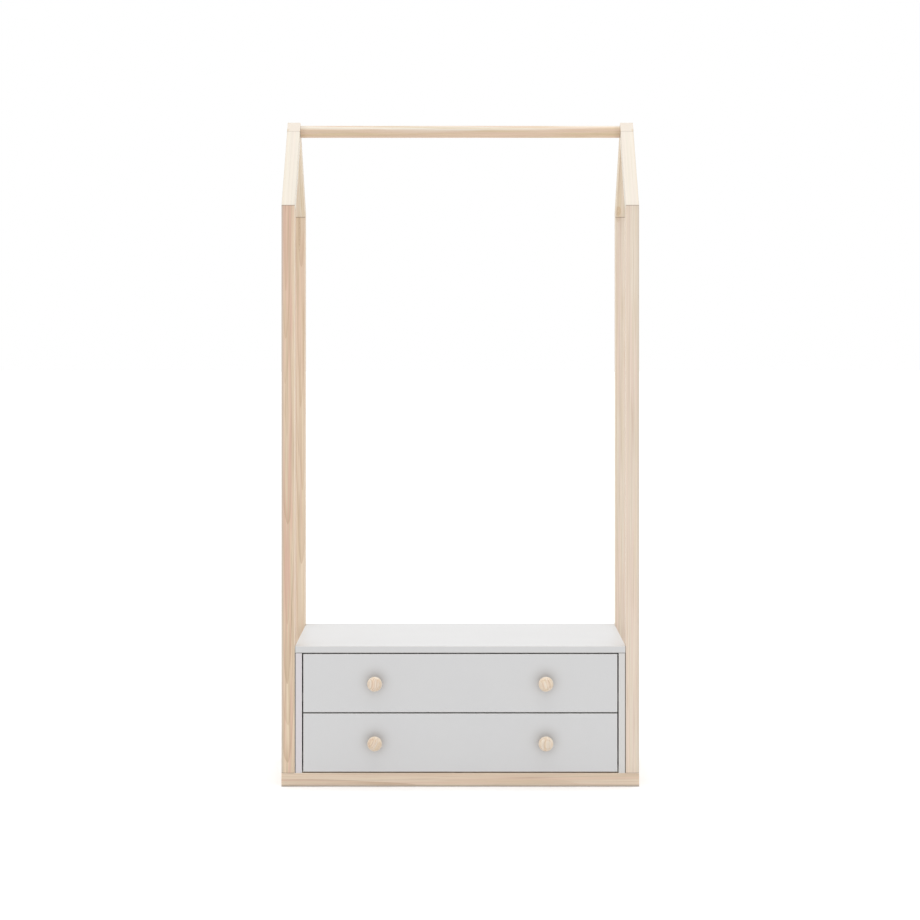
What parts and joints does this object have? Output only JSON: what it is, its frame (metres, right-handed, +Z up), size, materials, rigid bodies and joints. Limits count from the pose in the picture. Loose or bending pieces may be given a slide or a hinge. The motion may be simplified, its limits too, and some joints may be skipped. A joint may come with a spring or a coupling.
{
  "type": "wardrobe",
  "caption": "House-shaped open pine clothes stand with a round hanging rail at the ridge above a low cabinet with drawers on roller runners.",
  "frame": {"origin": "on the floor, at the middle of the whole footprint, knobs included", "axes": "+Z up, +X to the right of somebody who faces the drawers, +Y from the drawers to the back"},
  "size_m": [0.8, 0.425, 1.5],
  "materials": {
    "pine": "planed pine with a clear matt varnish",
    "rail_pine": "turned and sanded pine rod, clear matt varnish",
    "knob_pine": "turned and sanded pine, clear matt varnish",
    "tenon_beech": "milled beech, bare",
    "lacquered_board": "fibreboard with a white satin lacquer",
    "drawer_board": "fibreboard with a white foil",
    "hardboard": "thin hardboard, painted white on its seen side",
    "runner_steel": "bent sheet steel with a white epoxy coat",
    "roller_nylon": "moulded white nylon"
  },
  "bodies": {
    "frame": {"base_front_rail": "pine", "base_rear_rail": "pine", "base_left_rail": "pine", "base_right_rail": "pine", "front_left_post": "pine", "front_right_post": "pine", "rear_left_post": "pine", "rear_right_post": "pine", "front_left_rafter": "pine", "front_right_rafter": "pine", "rear_left_rafter": "pine", "rear_right_rafter": "pine", "hanging_rail": "rail_pine", "cabinet_top": "lacquered_board", "cabinet_left_side": "lacquered_board", "cabinet_right_side": "lacquered_board", "cabinet_bottom": "lacquered_board", "cabinet_back": "hardboard", "frame_tenons": "tenon_beech", "cabinet_tenons": "tenon_beech", "lower_left_cabinet_runner": "runner_steel", "lower_right_cabinet_runner": "runner_steel", "upper_left_cabinet_runner": "runner_steel", "upper_right_cabinet_runner": "runner_steel"},
    "lower_drawer": {"lower_drawer_front": "lacquered_board", "lower_drawer_left_side": "drawer_board", "lower_drawer_right_side": "drawer_board", "lower_drawer_back": "drawer_board", "lower_drawer_bottom": "hardboard", "lower_drawer_knobs": "knob_pine", "lower_left_drawer_runner": "runner_steel", "lower_right_drawer_runner": "runner_steel"},
    "lower_left_cabinet_roller": {"lower_left_cabinet_roller": "roller_nylon"},
    "lower_left_drawer_roller": {"lower_left_drawer_roller": "roller_nylon"},
    "lower_right_cabinet_roller": {"lower_right_cabinet_roller": "roller_nylon"},
    "lower_right_drawer_roller": {"lower_right_drawer_roller": "roller_nylon"},
    "upper_drawer": {"upper_drawer_front": "lacquered_board", "upper_drawer_left_side": "drawer_board", "upper_drawer_right_side": "drawer_board", "upper_drawer_back": "drawer_board", "upper_drawer_bottom": "hardboard", "upper_drawer_knobs": "knob_pine", "upper_left_drawer_runner": "runner_steel", "upper_right_drawer_runner": "runner_steel"},
    "upper_left_cabinet_roller": {"upper_left_cabinet_roller": "roller_nylon"},
    "upper_left_drawer_roller": {"upper_left_drawer_roller": "roller_nylon"},
    "upper_right_cabinet_roller": {"upper_right_cabinet_roller": "roller_nylon"},
    "upper_right_drawer_roller": {"upper_right_drawer_roller": "roller_nylon"}
  },
  "joints": [
    {"name": "lower_drawer_slide", "type": "slide", "parent": "frame", "child": "lower_drawer", "axis": [0, -1, 0], "range_m": [0, 0.26]},
    {"name": "lower_left_cabinet_roller_spin", "type": "hinge", "parent": "frame", "child": "lower_left_cabinet_roller", "pos_m": [-0.34995, -0.1565, 0.067], "axis": [1, 0, 0], "continuous": true},
    {"name": "lower_left_drawer_roller_spin", "type": "hinge", "parent": "lower_drawer", "child": "lower_left_drawer_roller", "pos_m": [-0.34765, 0.1635, 0.0653], "axis": [1, 0, 0], "continuous": true},
    {"name": "lower_right_cabinet_roller_spin", "type": "hinge", "parent": "frame", "child": "lower_right_cabinet_roller", "pos_m": [0.34995, -0.1565, 0.067], "axis": [1, 0, 0], "continuous": true},
    {"name": "lower_right_drawer_roller_spin", "type": "hinge", "parent": "lower_drawer", "child": "lower_right_drawer_roller", "pos_m": [0.34765, 0.1635, 0.0653], "axis": [1, 0, 0], "continuous": true},
    {"name": "upper_drawer_slide", "type": "slide", "parent": "frame", "child": "upper_drawer", "axis": [0, -1, 0], "range_m": [0, 0.26]},
    {"name": "upper_left_cabinet_roller_spin", "type": "hinge", "parent": "frame", "child": "upper_left_cabinet_roller", "pos_m": [-0.34995, -0.1565, 0.2], "axis": [1, 0, 0], "continuous": true},
    {"name": "upper_left_drawer_roller_spin", "type": "hinge", "parent": "upper_drawer", "child": "upper_left_drawer_roller", "pos_m": [-0.34765, 0.1635, 0.1983], "axis": [1, 0, 0], "continuous": true},
    {"name": "upper_right_cabinet_roller_spin", "type": "hinge", "parent": "frame", "child": "upper_right_cabinet_roller", "pos_m": [0.34995, -0.1565, 0.2], "axis": [1, 0, 0], "continuous": true},
    {"name": "upper_right_drawer_roller_spin", "type": "hinge", "parent": "upper_drawer", "child": "upper_right_drawer_roller", "pos_m": [0.34765, 0.1635, 0.1983], "axis": [1, 0, 0], "continuous": true}
  ],
  "couplings": [
    {"joint": "lower_left_cabinet_roller_spin", "follows": "lower_drawer_slide", "rad_per_m": 111.11},
    {"joint": "lower_left_drawer_roller_spin", "follows": "lower_drawer_slide", "rad_per_m": 125},
    {"joint": "lower_right_cabinet_roller_spin", "follows": "lower_drawer_slide", "rad_per_m": 111.11},
    {"joint": "lower_right_drawer_roller_spin", "follows": "lower_drawer_slide", "rad_per_m": 125},
    {"joint": "upper_left_cabinet_roller_spin", "follows": "upper_drawer_slide", "rad_per_m": 111.11},
    {"joint": "upper_left_drawer_roller_spin", "follows": "upper_drawer_slide", "rad_per_m": 125},
    {"joint": "upper_right_cabinet_roller_spin", "follows": "upper_drawer_slide", "rad_per_m": 111.11},
    {"joint": "upper_right_drawer_roller_spin", "follows": "upper_drawer_slide", "rad_per_m": 125}
  ]
}
